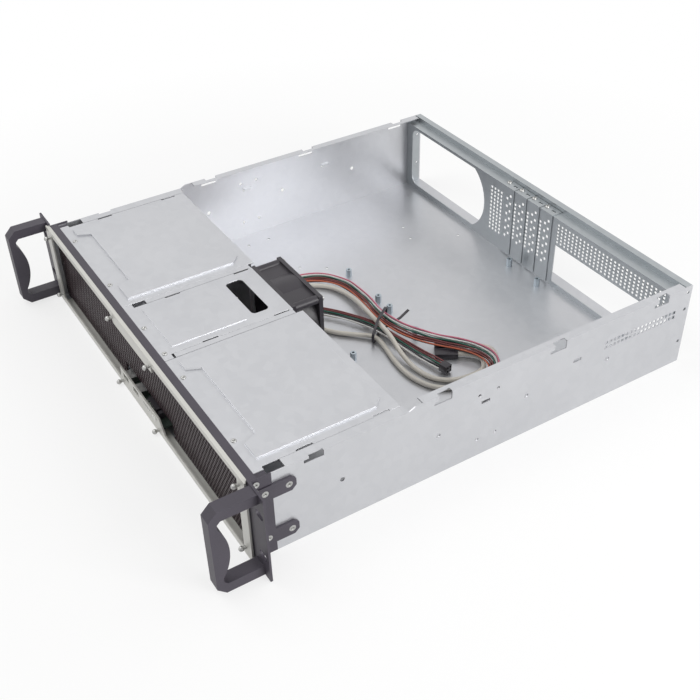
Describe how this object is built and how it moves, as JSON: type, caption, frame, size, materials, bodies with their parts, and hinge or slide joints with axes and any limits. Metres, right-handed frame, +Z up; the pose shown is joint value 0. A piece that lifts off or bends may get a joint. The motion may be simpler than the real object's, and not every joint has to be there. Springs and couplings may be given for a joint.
{
  "type": "rackmount server case",
  "caption": "Empty two-unit rackmount server case without lid, with rack handles, bay covers, a cooling fan and slotted rear panel.",
  "frame": {"origin": "on the underside of the floor, at the middle of the bounding box", "axes": "+Z up, +X to the right seen from the front, +Y to the rear; the handles point to -Y"},
  "size_m": [0.4826, 0.4962, 0.088],
  "materials": {
    "galvanised": "galvanised steel, satin",
    "rear_steel": "galvanised steel",
    "black_steel": "black powder coat",
    "mesh_black": "black powder coat",
    "frame_steel": "warm grey, satin",
    "screw_steel": "zinc plated",
    "brass": "plain",
    "black_plastic": "moulded",
    "white_plastic": "moulded",
    "board_green": "laminate",
    "lamp_clear": "clear lens"
  },
  "bodies": {
    "case": {"chassis_pan": "galvanised", "rear_panel": "rear_steel", "slot_cover_1": "rear_steel", "slot_cover_2": "rear_steel", "slot_cover_3": "rear_steel", "slot_cover_4": "rear_steel", "slot_cover_screws": "screw_steel", "bay_cover_left": "galvanised", "bay_cover_right": "galvanised", "bay_cover_centre": "galvanised", "bay_cover_screws": "screw_steel", "bay_divider_left": "galvanised", "bay_divider_right": "galvanised", "front_top_bar": "black_steel", "front_frame": "frame_steel", "bezel_studs": "screw_steel", "front_mesh": "mesh_black", "control_board": "board_green", "control_board_posts": "brass", "data_ports": "screw_steel", "status_lamps": "lamp_clear", "lamp_holder": "black_plastic", "panel_switches": "black_plastic", "ear_bracket_right": "black_steel", "ear_bracket_left": "black_steel", "handle_right": "black_steel", "handle_left": "black_steel", "ear_bracket_screws": "screw_steel", "handle_screws": "screw_steel", "fan_frame": "black_plastic", "fan_bracket": "galvanised", "fan_screws": "screw_steel", "board_standoffs": "brass"},
    "rotor": {"fan_rotor": "black_plastic"},
    "power_button": {"power_button": "white_plastic"},
    "reset_button": {"reset_button": "white_plastic"}
  },
  "joints": [
    {"name": "fan_spin", "type": "hinge", "parent": "case", "child": "rotor", "pos_m": [0.0005, -0.0522, 0.0434], "axis": [0, 1, 0], "continuous": true},
    {"name": "power_press", "type": "slide", "parent": "case", "child": "power_button", "axis": [0, 1, 0], "range_m": [0, 0.0008], "stiffness_N_per_m": 500},
    {"name": "reset_press", "type": "slide", "parent": "case", "child": "reset_button", "axis": [0, 1, 0], "range_m": [0, 0.0008], "stiffness_N_per_m": 500}
  ]
}
